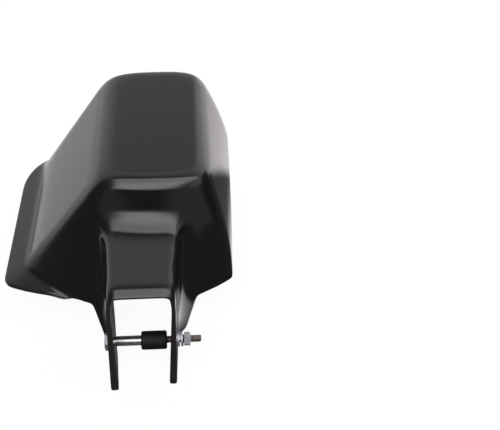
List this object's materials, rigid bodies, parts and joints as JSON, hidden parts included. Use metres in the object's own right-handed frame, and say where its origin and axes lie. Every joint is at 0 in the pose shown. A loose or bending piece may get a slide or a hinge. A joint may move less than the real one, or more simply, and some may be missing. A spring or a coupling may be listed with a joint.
{
  "type": "motorcycle hand guard",
  "caption": "Formed plastic hand guard with a flanged bowl, a stepped neck and ears that straddle a lever pivot, held by a shoulder bolt with a spacer sleeve, washers and a nut.",
  "frame": {"origin": "on the axis of the pivot bolt, between the two ears", "axes": "+X along the bolt from its head to its nut, +Y from the neck towards the outer end, +Z square to the plateau and out of the closed side"},
  "size_m": [0.1956, 0.2902, 0.1151],
  "materials": {
    "shell": "gloss",
    "fastener": "zinc plated",
    "sleeve": "matte"
  },
  "bodies": {
    "root": {"shell": "shell", "shoulder_bolt": "fastener", "spacer_sleeve": "sleeve", "flat_washer": "fastener", "spring_washer": "fastener", "hex_nut": "fastener"}
  },
  "joints": []
}
